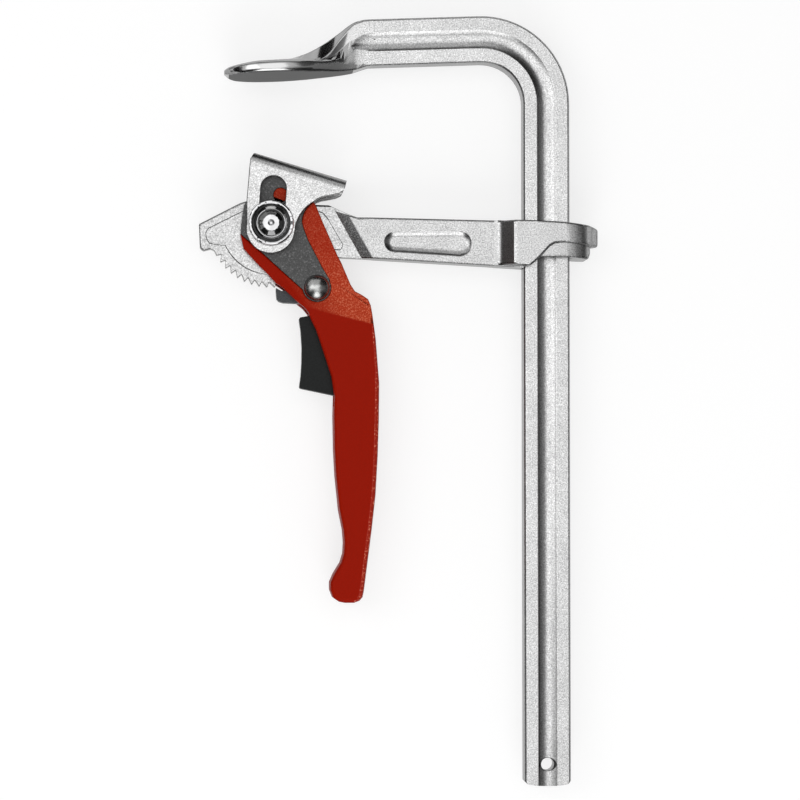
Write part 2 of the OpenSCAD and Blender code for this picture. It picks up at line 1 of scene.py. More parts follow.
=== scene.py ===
"""Looks of a ratchet lever clamp: forged and blasted steel, a red coated lever and bright rivets."""
import math

import bmesh
import bpy
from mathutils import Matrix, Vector


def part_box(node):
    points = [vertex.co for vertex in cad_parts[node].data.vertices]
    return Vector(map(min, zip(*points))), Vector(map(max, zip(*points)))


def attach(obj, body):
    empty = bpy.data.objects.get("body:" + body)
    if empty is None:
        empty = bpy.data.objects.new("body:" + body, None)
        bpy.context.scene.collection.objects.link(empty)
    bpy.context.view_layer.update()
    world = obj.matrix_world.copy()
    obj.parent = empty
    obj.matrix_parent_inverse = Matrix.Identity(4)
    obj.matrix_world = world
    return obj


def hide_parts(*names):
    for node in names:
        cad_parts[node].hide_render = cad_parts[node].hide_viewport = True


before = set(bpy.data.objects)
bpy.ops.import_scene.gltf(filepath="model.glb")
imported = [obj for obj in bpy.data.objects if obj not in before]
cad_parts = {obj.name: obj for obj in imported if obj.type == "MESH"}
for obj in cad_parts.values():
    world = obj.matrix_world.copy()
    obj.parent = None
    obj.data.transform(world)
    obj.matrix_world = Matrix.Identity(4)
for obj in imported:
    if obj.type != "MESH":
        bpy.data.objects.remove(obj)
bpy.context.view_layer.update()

bl_info = {
    "name": "Ratchet lever clamp",
    "version": (1, 0, 0),
    "blender": (4, 5, 0),
    "location": "View3D > Sidebar > Clamp",
    "description": "Builds the pieces, finishes and stage of a ratchet lever clamp on its packed frame",
    "category": "Object",
}

MM = 0.001


def centre(node):
    """Middle of a node's box."""
    low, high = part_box(node)
    return (low + high) / 2


PIVOT = centre("pivot_pin")
RIVET = centre("pawl_pin")
RIM_TOP = RIVET.y - 22 * MM
RAIL_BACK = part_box("rail_frame")[1].x
JAW_END = PIVOT.x + 42 * MM
FLARE_START = PIVOT.x + 113.5 * MM
GROOVE_END = PIVOT + Vector((53, 94.6, 0)) * MM
END_HOLE = Vector((75.05, -185, 18.5)) * MM
JAW_DOWN = Vector((0.04013, -0.99919, 0))
RAMP_OUT = Vector((-0.872, -0.489, 0))
FACET_UP = Vector((0.242, 0.970, 0))
FACET_AT = FACET_UP.dot(PIVOT + Vector((38, -47.3, 0)) * MM)
CHEEK_OUT = Vector((0.84, 0.54, 0))

# Landmarks of the rail: the reach of the sharp start of its groove, and of the end hole's wall.
GROOVE_END_REACH = 6 * MM
END_HOLE_REACH = 3.6 * MM

# Landmarks of the arm: places along X from the pivot, and heights over the mid-plane.
BORE_REACH = 8 * MM
REAR_RAMP = (18 * MM, 50 * MM)
RAMP_FACES = (24 * MM, 46 * MM)
BEAM_START = 30 * MM
BEAM_EDGE_HEIGHT = 6.2 * MM
PANEL_HEIGHT = 3.8 * MM
TEETH_TURN = (-158, -45)
RECESS_EDGES = 54 * MM
RECESS_FACES = (56 * MM, RAIL_BACK - PIVOT.x - 60 * MM)
RECESS_Y = -9 * MM
RECESS_HALF = 8 * MM
RECESS_HEIGHT = 4 * MM
LEDGE_END = FLARE_START + 16.5 * MM
LEDGE_HEIGHT = 6.8 * MM

# Landmarks of the lever, the coil and the cups.
FORK_REACH = 14 * MM
CHEEK_HEIGHT = 8.5 * MM
RIM_FADE = 30 * MM
COIL_DRAWN = Vector((0.85, 0.75, 0.75))
CUP_FLOOR = 0.6 * MM
CUP_INSIDE = (4 * MM, 9.7 * MM)
HAIR = 0.12 * MM


# Settings

class ClampSizes(bpy.types.PropertyGroup):
    """Radii that the forging, pressing and casting leave on the edges."""
    drawn_edge: bpy.props.FloatProperty(
        name="Drawn edge", description="Radius along the edges of the rail",
        default=0.3 * MM, min=0.1 * MM, max=2 * MM, unit="LENGTH", precision=5)
    forged_edge: bpy.props.FloatProperty(
        name="Forged edge", description="Radius along the edges of the sliding arm",
        default=1.2 * MM, min=0.2 * MM, max=3 * MM, unit="LENGTH", precision=5)
    collar_edge: bpy.props.FloatProperty(
        name="Collar edge", description="Radius along the outer edges of the collar",
        default=1.2 * MM, min=0.2 * MM, max=3 * MM, unit="LENGTH", precision=5)
    lever_edge: bpy.props.FloatProperty(
        name="Lever edge", description="Radius along the outer edges of the coated lever",
        default=2.2 * MM, min=0.2 * MM, max=3 * MM, unit="LENGTH", precision=5)
    sheet_edge: bpy.props.FloatProperty(
        name="Sheet edge", description="Radius of the tumbled edges of the folded pad",
        default=0.35 * MM, min=0.05 * MM, max=1 * MM, unit="LENGTH", precision=5)
    small_edge: bpy.props.FloatProperty(
        name="Small edge", description="Radius on the cam plates, the pawl and the teeth",
        default=0.2 * MM, min=0.05 * MM, max=1 * MM, unit="LENGTH", precision=5)


class ClampColours(bpy.types.PropertyGroup):
    """Main colours as sRGB codes."""
    coat: bpy.props.StringProperty(
        name="Lever coat", description="Red of the coated lever", default="#961501")
    nylon: bpy.props.StringProperty(
        name="Trigger", description="Black of the moulded trigger", default="#141616")


def sizes():
    return bpy.context.scene.clamp_sizes


def colours():
    return bpy.context.scene.clamp_colours


# Selection and shaping

def deselect():
    if bpy.context.object and bpy.context.object.mode != "OBJECT":
        bpy.ops.object.mode_set(mode="OBJECT")
    bpy.ops.object.select_all(action="DESELECT")


def pick(piece):
    deselect()
    piece.select_set(True)
    bpy.context.view_layer.objects.active = piece


def copy_of(node, name, *finishes, join=0.002 * MM):
    """Copy of a CAD node in its finishes, with its loose triangles joined and its flat faces whole.
    Corners closer than the joining distance become one, which closes hair-thin steps."""
    piece = bpy.data.objects.new(name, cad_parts[node].data.copy())
    bpy.context.scene.collection.objects.link(piece)
    piece.data.name = name
    piece.data.materials.clear()
    for make in finishes:
        piece.data.materials.append(finish(make))
    pick(piece)
    bpy.ops.object.mode_set(mode="EDIT")
    bpy.ops.mesh.select_all(action="SELECT")
    bpy.ops.mesh.remove_doubles(threshold=join)
    bpy.ops.mesh.dissolve_limited(angle_limit=math.radians(0.4))
    bpy.ops.object.mode_set(mode="OBJECT")
    return piece


def split_at(piece, x):
    """Splits the faces along a plane across the piece, so that a rounding can taper off there."""
    shape = bmesh.new()
    shape.from_mesh(piece.data)
    bmesh.ops.bisect_plane(shape, geom=[*shape.verts, *shape.edges, *shape.faces],
                           plane_co=(x, 0, 0), plane_no=(1, 0, 0))
    shape.to_mesh(piece.data)
    shape.free()


def round_edges(piece, radius_at, segments=3, least=28):
    """Bevels the sharp edges. radius_at gives the radius from an edge's middle and whether it
    stands out, like a rim, or lies in, like the foot of a wall. The rounded edges take the piece's
    second finish, if it has one."""
    mesh = piece.data
    shape = bmesh.new()
    shape.from_mesh(mesh)
    shape.edges.ensure_lookup_table()
    # Where two stretches of the solid meet with a hair's step, the step's thin faces stay sharp.
    hair = [face.calc_area() < HAIR * face.calc_perimeter() for face in shape.faces]
    radii = []
    for edge in shape.edges:
        angle = math.degrees(edge.calc_face_angle(0))
        middle = (edge.verts[0].co + edge.verts[1].co) / 2
        step = any(hair[face.index] for face in edge.link_faces)
        radii.append(radius_at(middle, edge.is_convex) if angle > least and not step else 0)
    shape.free()
    low = [min(vertex.co[i] for vertex in mesh.vertices) for i in range(3)]
    high = [max(vertex.co[i] for vertex in mesh.vertices) for i in range(3)]
    widest = max(radii)
    weight = mesh.attributes.new("bevel_weight_edge", "FLOAT", "EDGE")
    weight.data.foreach_set("value", [radius / widest for radius in radii])
    bevel = piece.modifiers.new("Rounded edges", "BEVEL")
    bevel.limit_method = "WEIGHT"
    bevel.width = widest
    bevel.segments = segments
    bevel.use_clamp_overlap = False
    bevel.material = min(1, len(mesh.materials) - 1)
    pick(piece)
    bpy.ops.object.modifier_apply(modifier=bevel.name)
    # The rounding of a pointed corner can come out a hair past the solid, and is brought back.
    for vertex in piece.data.vertices:
        vertex.co = [min(max(value, low[i]), high[i]) for i, value in enumerate(vertex.co)]


def keep_painted_edge_shade(piece, least_rise):
    """Gives the rounding's faces back to the first finish, apart from those that stand steeply, which
    keep the painted edge shade.
    """
    for face in piece.data.polygons:
        if face.material_index == 1 and abs(face.normal.z) > least_rise:
            face.material_index = 0


def smooth(piece, angle=35):
    pick(piece)
    bpy.ops.object.shade_smooth_by_angle(angle=math.radians(angle))
    even = piece.modifiers.new("Even shading", "WEIGHTED_NORMAL")
    even.keep_sharp = True
    bpy.ops.object.modifier_apply(modifier=even.name)


def place(piece, node, body):
    """Gives a finished piece its body and hides the CAD node that it stands for."""
    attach(piece, body)
    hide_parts(node)


# Finishes

def linear(code):
    """Linear colour of an sRGB hex code."""
    values = [int(code[i:i + 2], 16) / 255 for i in (1, 3, 5)]
    return [v / 12.92 if v <= 0.04045 else ((v + 0.055) / 1.055) ** 2.4 for v in values] + [1]


def shade(code, factor):
    """Linear colour of a code, made darker or lighter."""
    return [value * factor for value in linear(code)[:3]] + [1]


def add(tree, kind, settings=None, links=None):
    """Adds a node with its settings, its socket values and its incoming links."""
    node = tree.nodes.new(kind)
    for key, value in (settings or {}).items():
        if isinstance(key, str) and hasattr(node, key):
            setattr(node, key, value)
        else:
            node.inputs[key].default_value = value
    for key, source in (links or {}).items():
        tree.links.new(source, node.inputs[key])
    return node


def new_finish(name):
    """Empty material with its shader and the object's own coordinates in metres."""
    material = bpy.data.materials.new(name)
    material.use_nodes = True
    tree = material.node_tree
    tree.nodes.clear()
    out = tree.nodes.new("ShaderNodeOutputMaterial")
    shader = tree.nodes.new("ShaderNodeBsdfPrincipled")
    tree.links.new(shader.outputs["BSDF"], out.inputs["Surface"])
    where = tree.nodes.new("ShaderNodeTexCoord").outputs["Object"]
    return material, tree, shader, where


def ramp(tree, source, stops):
    """Colour ramp over a factor, with its stops as pairs of place and colour."""
    node = tree.nodes.new("ShaderNodeValToRGB")
    tree.links.new(source, node.inputs["Fac"])
    bar = node.color_ramp
    while len(bar.elements) > 1:
        bar.elements.remove(bar.elements[0])
    bar.elements[0].position, bar.elements[0].color = stops[0]
    for position, colour in stops[1:]:
        bar.elements.new(position).color = colour
    return node.outputs["Color"]


def noise(tree, where, size, detail=2, roughness=0.5):
    """Factor of a noise texture, with its scale worked out from a size in metres."""
    return add(tree, "ShaderNodeTexNoise", {"Scale": 1 / size, "Detail": detail, "Roughness": roughness},
               {"Vector": where}).outputs["Fac"]


def grained(name, grain_of, stops, values, bump=None):
    """Finish whose colour, and bump if it has one, come from one noise. grain_of is the noise's
    size, detail and roughness, values sets the shader's sockets, and bump is strength and depth."""
    material, tree, shader, where = new_finish(name)
    grain = noise(tree, where, *grain_of)
    tree.links.new(ramp(tree, grain, stops), shader.inputs["Base Color"])
    if bump:
        relief = add(tree, "ShaderNodeBump", {"Strength": bump[0], "Distance": bump[1]},
                     {"Height": grain})
        tree.links.new(relief.outputs["Normal"], shader.inputs["Normal"])
    for socket, value in values.items():
        shader.inputs[socket].default_value = value
    return material, tree, shader


def blasted_zinc():
    """Bright blasted zinc of the rail and the pad."""
    return zinc_skin("Blasted zinc plated steel", 1)


def forged_zinc():
    """The same on the forged arm, a little duller."""
    return zinc_skin("Blasted zinc plated forging", 0.9)


def zinc_skin(name, tone):
    """Blasted and zinc plated steel: fine light and dark grains of the blasting and a soft sheen.
    Towards the twisted neck and the jaw the drawn surface is smoother and the grain fades."""
    material, tree, shader, where = new_finish(name)
    # Blasting leaves grains of about 0.1 mm, drawn here as 0.6 mm so that they show.
    grain = noise(tree, where, 0.6 * MM, 2, 0.6)
    cloud = noise(tree, where, 14 * MM)
    place_on = add(tree, "ShaderNodeSeparateXYZ", {}, {0: where})
    jaw_side = add(tree, "ShaderNodeMapRange",
                   {1: JAW_END + 10 * MM, 2: JAW_END - 6 * MM, 3: 0.0, 4: 1.0},
                   {0: place_on.outputs["X"]})
    top_side = add(tree, "ShaderNodeMath", {"operation": "GREATER_THAN", 1: PIVOT.y + 50 * MM},
                   {0: place_on.outputs["Y"]})
    drawn = add(tree, "ShaderNodeMath", {"operation": "MULTIPLY"},
                {0: jaw_side.outputs[0], 1: top_side.outputs[0]})
    speckle = ramp(tree, grain, [
        (0.30, linear("#848484")), (0.45, linear("#A2A2A2")), (0.55, linear("#B4B4B4")),
        (0.70, linear("#D0D0D0"))])
    patch = ramp(tree, cloud, [(0.3, shade("#F2F2F2", tone)), (0.7, shade("#FFFFFF", tone))])
    colour = add(tree, "ShaderNodeMix", {"data_type": "RGBA", "blend_type": "MULTIPLY", 0: 1.0},
                 {6: speckle, 7: patch})
    colour = add(tree, "ShaderNodeMix", {"data_type": "RGBA", 7: linear("#A8A8A8")},
                 {0: drawn.outputs[0], 6: colour.outputs[2]})
    # The walls between the flat sides are darkened by how they face: painted shade that stands in for
    # their dark reflections.
    facing = add(tree, "ShaderNodeSeparateXYZ", {},
                 {0: tree.nodes["Texture Coordinate"].outputs["Normal"]})
    facing = add(tree, "ShaderNodeMath", {"operation": "ABSOLUTE"}, {0: facing.outputs["Z"]})
    wall = ramp(tree, facing.outputs[0], [(0.3, linear("#BCBCBC")), (0.65, linear("#FFFFFF"))])
    colour = add(tree, "ShaderNodeMix", {"data_type": "RGBA", "blend_type": "MULTIPLY", 0: 1.0},
                 {6: colour.outputs[2], 7: wall})
    rough = add(tree, "ShaderNodeMapRange", {3: 0.28, 4: 0.15}, {0: drawn.outputs[0]})
    fade = add(tree, "ShaderNodeMapRange", {3: 0.3, 4: 0.04}, {0: drawn.outputs[0]})
    bump = add(tree, "ShaderNodeBump", {"Distance": 0.07 * MM},
               {"Height": grain, "Strength": fade.outputs[0]})
    tree.links.new(colour.outputs[2], shader.inputs["Base Color"])
    tree.links.new(rough.outputs[0], shader.inputs["Roughness"])
    tree.links.new(bump.outputs["Normal"], shader.inputs["Normal"])
    shader.inputs["Metallic"].default_value = 1
    return material


def zinc_edge_painted_shade():
    """Zinc plated steel along the edges, darkened with painted shade that stands in for their dark
    reflections.
    """
    return grained("Zinc plated edge with painted shade", (0.6 * MM, 2, 0.6), [
        (0.32, linear("#4C4C4C")), (0.5, linear("#6C6C6C")), (0.68, linear("#A6A6A6"))],
        {"Metallic": 1, "Roughness": 0.3}, (0.3, 0.07 * MM))[0]


def struck_face_painted_shade():
    """Die struck and plated steel: closed and even, with faint flow lines. Its dark colour, darker than
    the blasted skin, and the tint that holds back its shine at the grazing angle of the main view, are
    painted shade."""
    material, tree, shader, where = new_finish("Die struck plated steel with painted shade")
    along = add(tree, "ShaderNodeMapping", {"Scale": (0.12, 1, 1)}, {"Vector": where})
    flow = noise(tree, along.outputs[0], 1.2 * MM, 3)
    colour = ramp(tree, flow, [(0.3, linear("#3C3C3C")), (0.7, linear("#4A4A4A"))])
    tree.links.new(colour, shader.inputs["Base Color"])
    shader.inputs["Metallic"].default_value = 1
    shader.inputs["Specular Tint"].default_value = linear("#C4C4C4")
    shader.inputs["Roughness"].default_value = 0.3
    return material


def bright_steel():
    """Spun and polished rivet steel, with its gloss drawn a little round the rivet's axis."""
    material, tree, shader = grained("Spun rivet steel", (2.5 * MM,), [
        (0.3, linear("#A6A6A7")), (0.7, linear("#B8B8B9"))],
        {"Metallic": 1, "Roughness": 0.1, "Anisotropic": 0.3})
    round_it = add(tree, "ShaderNodeTangent", {"direction_type": "RADIAL", "axis": "Z"})
    tree.links.new(round_it.outputs[0], shader.inputs["Tangent"])
    return material


def cup_steel_painted_dark():
    """Spun and burnished steel inside the cups, darkened with a painted dark reflection."""
    return grained("Cup steel with painted dark reflection", (2.5 * MM,), [
        (0.3, linear("#5C5C5E")), (0.7, linear("#70706F"))], {"Metallic": 1, "Roughness": 0.1})[0]


def rivet_steel():
    """Riveted head of plain steel: smooth, softly shining."""
    return grained("Headed rivet steel", (1.5 * MM,), [
        (0.3, linear("#8E8F8E")), (0.7, linear("#A2A3A2"))], {"Metallic": 1, "Roughness": 0.25})[0]


def dark_steel():
    """Phosphated sheet steel: matt dark grey with a fine stamped grain."""
    return grained("Phosphated sheet steel", (0.9 * MM, 4, 0.7), [
        (0.35, linear("#363636")), (0.58, linear("#4C4C4C")), (0.72, linear("#8C8C8C"))],
        {"Metallic": 0.35, "Roughness": 0.55}, (0.3, 0.06 * MM))[0]


def red_coat():
    """Red coated casting: an even semi-matt coat, and on the right cheek of the head, above the facet
    line, the rough skin of the casting under it, with its glints painted in as lighter orange."""
    material, tree, shader, where = new_finish("Red coated casting")
    grain = noise(tree, where, 0.7 * MM, 3, 0.7)
    up = add(tree, "ShaderNodeVectorMath", {"operation": "DOT_PRODUCT", 1: FACET_UP}, {0: where})
    over = add(tree, "ShaderNodeMapRange", {1: FACET_AT - 0.3 * MM, 2: FACET_AT + 0.6 * MM},
               {0: up.outputs["Value"]})
    side = add(tree, "ShaderNodeVectorMath", {"operation": "DOT_PRODUCT", 1: CHEEK_OUT}, {0: where})
    middle = CHEEK_OUT.xy.dot(PIVOT.xy)
    cheek = add(tree, "ShaderNodeMapRange", {1: middle - 9 * MM, 2: middle + 8 * MM},
                {0: side.outputs["Value"]})
    skin = add(tree, "ShaderNodeMath", {"operation": "MULTIPLY"},
               {0: over.outputs[0], 1: cheek.outputs[0]})
    fork = add(tree, "ShaderNodeMapRange",
               {1: FACET_AT + 14 * MM, 2: FACET_AT + 32 * MM, 3: 1.0, 4: 0.45},
               {0: up.outputs["Value"]})
    skin = add(tree, "ShaderNodeMath", {"operation": "MULTIPLY"},
               {0: skin.outputs[0], 1: fork.outputs[0]})
    even = ramp(tree, grain, [
        (0.3, shade(colours().coat, 0.94)), (0.7, shade(colours().coat, 1.06))])
    # Lighter orange of the rough skin: painted highlights of its glints, over a real bump.
    rough_skin_painted_glint = ramp(tree, grain, [
        (0.34, linear("#A42A12")), (0.52, linear("#B84226")), (0.66, linear("#DC785A"))])
    colour = add(tree, "ShaderNodeMix", {"data_type": "RGBA"},
                 {0: skin.outputs[0], 6: even, 7: rough_skin_painted_glint})
    fade = add(tree, "ShaderNodeMapRange", {3: 0.1, 4: 0.7}, {0: skin.outputs[0]})
    bump = add(tree, "ShaderNodeBump", {"Distance": 0.1 * MM},
               {"Height": grain, "Strength": fade.outputs[0]})
    tree.links.new(colour.outputs[2], shader.inputs["Base Color"])
    tree.links.new(bump.outputs["Normal"], shader.inputs["Normal"])
    shader.inputs["Roughness"].default_value = 0.42
    shader.inputs["Specular IOR Level"].default_value = 0.04
    return material


def coat_rim_painted_glints():
    """The red coat where it ran thick along the rim: glossier, with painted highlights of its small
    pimples as light orange specks.
    """
    return grained("Red coat on the rim with painted glints", (1.1 * MM, 2, 0.6), [
        (0.5, linear("#9E1C06")), (0.6, linear("#B43A20")), (0.68, linear("#E08A70"))],
        {"Roughness": 0.35, "Specular IOR Level": 0.2}, (0.5, 0.1 * MM))[0]


def black_plastic():
    """Glass filled nylon, moulded: near black with a dull sheen."""
    nylon = colours().nylon
    return grained("Moulded black nylon", (0.8 * MM,), [
        (0.3, shade(nylon, 0.6)), (0.7, shade(nylon, 1.45))],
        {"Roughness": 0.4, "Specular IOR Level": 0.12}, (0.2, 0.05 * MM))[0]


def sintered_steel():
    """Sintered and steam treated steel: dull blue black, fine pores."""
    return grained("Steam treated sintered steel", (0.7 * MM, 3, 0.6), [
        (0.35, linear("#26282A")), (0.65, linear("#3C3F42"))],
        {"Metallic": 0.5, "Roughness": 0.45}, (0.25, 0.05 * MM))[0]


FINISHES = {}


def finish(make):
    """Each finish is made once and shared."""
    if make.__name__ not in FINISHES:
        FINISHES[make.__name__] = make()
    return FINISHES[make.__name__]


# Pieces

class CLAMP_OT_rail(bpy.types.Operator):
    """Rail with its bend, twisted neck and jaw tongue"""
    bl_idname = "clamp.rail"
    bl_label = "Rail and fixed jaw"

    def execute(self, context):
        piece = copy_of("rail_frame", "rail_forging", blasted_zinc, zinc_edge_painted_shade, struck_face_painted_shade,
                        join=0.1 * MM)
        edge, small = sizes().drawn_edge, sizes().small_edge

        def radius(p, stands_out):
            if (p - GROOVE_END).xy.length < GROOVE_END_REACH:
                return 0
            return (2 * edge if p.x < JAW_END else edge) if stands_out else small

        round_edges(piece, radius)
        keep_painted_edge_shade(piece, 0.66)
        smooth(piece, 40)
        place(piece, "rail_frame", "rail")
        # The face of the jaw was struck flat, which closed its grain, and is darkened with painted
        # shade.
        for face in piece.data.polygons:
            if face.center.x < JAW_END and face.normal.dot(JAW_DOWN) > 0.96:
                face.material_index = 2
            # The end hole's wall takes the edge finish: a painted dark rim of shade.
            if (face.center - END_HOLE).xy.length < END_HOLE_REACH:
                face.material_index = 1
        return {"FINISHED"}


class CLAMP_OT_arm(bpy.types.Operator):
    """Sliding arm with its collar, its recesses and the toothed head"""
    bl_idname = "clamp.arm"
    bl_label = "Sliding arm"

    def execute(self, context):
        piece = copy_of("sliding_arm", "arm_forging", forged_zinc, zinc_edge_painted_shade, join=0.06 * MM)
        forged, collar, small = sizes().forged_edge, sizes().collar_edge, sizes().small_edge

        def radius(p, stands_out):
            away = (p - PIVOT).xy
            height = abs(p.z - PIVOT.z)
            if away.length < BORE_REACH or not stands_out:
                return small
            if p.x > FLARE_START:
                # The hair-thin ledge beside the foot of the collar stays sharp.
                return 0 if p.x < LEDGE_END and height < LEDGE_HEIGHT else collar
            if p.z < PIVOT.z and REAR_RAMP[0] < away.x < REAR_RAMP[1]:
                # The rear ramp stays sharp: when it is rounded, its faces fold over each other.
                return 0
            beside_recess = away.x > RECESS_EDGES and abs(away.y - RECESS_Y) < RECESS_HALF
            if beside_recess and height > RECESS_HEIGHT:
                return 2 * small
            if away.x > BEAM_START:
                return forged if height > BEAM_EDGE_HEIGHT else small
            # The head: its raised panel, its ratchet teeth, and its plain outline.
            if height > PANEL_HEIGHT:
                return 2.4 * small
            turn = math.degrees(math.atan2(away.y, away.x))
            return 1.5 * small if TEETH_TURN[0] < turn < TEETH_TURN[1] else forged

        split_at(piece, FLARE_START)
        round_edges(piece, radius)
        keep_painted_edge_shade(piece, 0.92)
        smooth(piece, 35)
        place(piece, "sliding_arm", "arm")
        # The steep band where the beam leaves the head takes the edge finish: painted shade.
        for face in piece.data.polygons:
            away = face.center - PIVOT
            sloping = 0.3 < abs(face.normal.z) < 0.93 and face.normal.dot(RAMP_OUT) > 0.2
            if RAMP_FACES[0] < away.x < RAMP_FACES[1] and sloping:
                face.material_index = 1
            # The recess was struck in, and its rim keeps the blasted finish of its floor, without the
            # painted edge shade.
            if RECESS_FACES[0] < away.x < RECESS_FACES[1] and abs(away.y - RECESS_Y) < RECESS_HALF:
                face.material_index = 0
        return {"FINISHED"}


class CLAMP_OT_lever(bpy.types.Operator):
    """Coated lever with its fork and handle"""
    bl_idname = "clamp.lever"
    bl_label = "Lever"

    def execute(self, context):
        piece = copy_of("lever_handle", "lever_casting", red_coat, coat_rim_painted_glints)
        edge, small = sizes().lever_edge, sizes().small_edge

        def radius(p, stands_out):
            outer = (p - PIVOT).xy.length > FORK_REACH and abs(p.z - PIVOT.z) > CHEEK_HEIGHT
            if not (outer and stands_out):
                return small
            below = (RIM_TOP - p.y) / RIM_FADE
            return edge * (0.4 + 0.6 * min(max(below, 0), 1))

        round_edges(piece, radius)
        # Only the right rim, down from the shoulder, takes the painted highlights of the coat's orange
        # peel.
        for face in piece.data.polygons:
            if face.center.y > RIM_TOP or face.normal.x < 0.15:
                face.material_index = 0
        smooth(piece, 35)
        place(piece, "lever_handle", "lever")
        return {"FINISHED"}


class CLAMP_OT_cams(bpy.types.Operator):
    """Cam plates on both sides of the fork"""
    bl_idname = "clamp.cams"
    bl_label = "Cam plates"

    def execute(self, context):
        for side in ("front", "rear"):
            node = "cam_plate_" + side
            piece = copy_of(node, "cam_sheet_" + side, dark_steel)
            small = sizes().small_edge
            round_edges(piece, lambda p, stands_out: small, segments=2)
            smooth(piece, 35)
            place(piece, node, "lever")
        return {"FINISHED"}


class CLAMP_OT_catch(bpy.types.Operator):
    """Pawl, trigger, their pin and the spring"""
    bl_idname = "clamp.catch"
    bl_label = "Pawl and trigger"

    def execute(self, context):
        small = sizes().small_edge
        pawl = copy_of("pawl", "pawl_block", sintered_steel)
        round_edges(pawl, lambda p, stands_out: small, segments=2)
        smooth(pawl, 35)
        place(pawl, "pawl", "pawl_unit")
        trigger = copy_of("trigger", "trigger_grip", black_plastic)
        round_edges(trigger, lambda p, stands_out: 2 * small)
        smooth(trigger, 35)
        place(trigger, "trigger", "pawl_unit")
        pin = copy_of("trigger_pin", "trigger_cross_pin", bright_steel)
        smooth(pin, 35)
        place(pin, "trigger_pin", "pawl_unit")
        spring = copy_of("trigger_spring", "trigger_coil", bright_steel)
        # The coil is drawn shorter and slimmer than its solid, from the slot's back wall, so that
        # the pulled trigger doesn't cut into it.
        wall = Vector((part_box("trigger_spring")[1].x, *centre("trigger_spring").yz))
        for vertex in spring.data.vertices:
            vertex.co = wall + (vertex.co - wall) * COIL_DRAWN
        smooth(spring, 80)
        place(spring, "trigger_spring", "lever")
        return {"FINISHED"}


class CLAMP_OT_pad(bpy.types.Operator):
    """Folded pressure pad"""
    bl_idname = "clamp.pad"
    bl_label = "Pressure pad"

    def execute(self, context):
        piece = copy_of("pressure_pad", "pad_sheet", blasted_zinc, zinc_edge_painted_shade)
        edge = sizes().sheet_edge
        round_edges(piece, lambda p, stands_out: edge)
        smooth(piece, 35)
        place(piece, "pressure_pad", "pad")
        return {"FINISHED"}


def spin_heads(piece):
    """Turns the rivet's crowned heads into the cone and the raised ring that the spinning tool
    leaves round the nub."""
    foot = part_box("cup_washer_front")[0].z - PIVOT.z + CUP_FLOOR
    # Rings of the crown: radius in the solid, then radius and height over the cup's floor.
    rings = ((6.6, 6.5, 0.33), (5.4, 5.3, 1.09), (4.2, 4.0, 1.9))
    for vertex in piece.data.vertices:
        away = vertex.co - PIVOT
        for old, new, height in rings:
            if abs(away.xy.length - old * MM) < 0.03 * MM and abs(away.z) > foot:
                vertex.co.xy = PIVOT.xy + away.xy * (new / old)
                vertex.co.z = PIVOT.z + math.copysign(foot + height * MM, away.z)


class CLAMP_OT_rivets(bpy.types.Operator):
    """Main rivet, cup washers and pawl rivet"""
    bl_idname = "clamp.rivets"
    bl_label = "Rivets and cup washers"

    def execute(self, context):
        pieces = (("pivot_pin", "main_rivet", "pivot"), ("cup_washer_front", "cup_front", "pivot"),
                  ("cup_washer_rear", "cup_rear", "pivot"), ("pawl_pin", "pawl_rivet", "lever"))
        for node, name, body in pieces:
            if node == "pawl_pin":
                piece = copy_of(node, name, rivet_steel)
            else:
                piece = copy_of(node, name, bright_steel, cup_steel_painted_dark)
            if node == "pivot_pin":
                spin_heads(piece)
            smooth(piece, 30)
            # The cone round the nub and the inside of the cups take the darker steel: a painted dark
            # reflection.
            for face in piece.data.polygons:
                away = (face.center - PIVOT).xy.length
                inside = CUP_INSIDE[0] < away < CUP_INSIDE[1] and abs(face.normal.z) > 0.1
                if node != "pawl_pin" and inside:
                    face.material_index = 1
            place(piece, node, body)
        return {"FINISHED"}


class CLAMP_OT_stage(bpy.types.Operator):
    """Pale floor, soft lamps and the camera over the clamp"""
    bl_idname = "clamp.stage"
    bl_label = "Stage"

    def execute(self, context):
        make_floor()
        make_lamps()
        make_flags()
        make_world()
        make_camera()
        return {"FINISHED"}


def shown_rays(tree):
    """1 for the rays that show the white background: to the camera, and in metal and glass."""
    ray = tree.nodes.new("ShaderNodeLightPath")
    seen = add(tree, "ShaderNodeMath", {"operation": "MAXIMUM"},
               {0: ray.outputs["Is Camera Ray"], 1: ray.outputs["Is Glossy Ray"]})
    seen = add(tree, "ShaderNodeMath", {"operation": "MAXIMUM"},
               {0: seen.outputs[0], 1: ray.outputs["Is Transmission Ray"]})
    return seen.outputs[0]


def make_floor():
    deselect()
    bpy.ops.mesh.primitive_plane_add(size=12, location=(0, 0, 0))
    floor = bpy.context.object
    floor.name = "floor"
    material = bpy.data.materials.new("Pale floor")
    material.use_nodes = True
    tree = material.node_tree
    tree.nodes.clear()
    out = tree.nodes.new("ShaderNodeOutputMaterial")
    matt = add(tree, "ShaderNodeBsdfDiffuse", {"Color": linear("#A0A0A0")})
    shown = add(tree, "ShaderNodeEmission", {"Color": linear("#FFFFFF"), "Strength": 0.7})
    both = add(tree, "ShaderNodeAddShader", {}, {0: matt.outputs[0], 1: shown.outputs[0]})
    mix = add(tree, "ShaderNodeMixShader", {},
              {0: shown_rays(tree), 1: matt.outputs[0], 2: both.outputs[0]})
    tree.links.new(mix.outputs[0], out.inputs["Surface"])
    floor.data.materials.append(material)


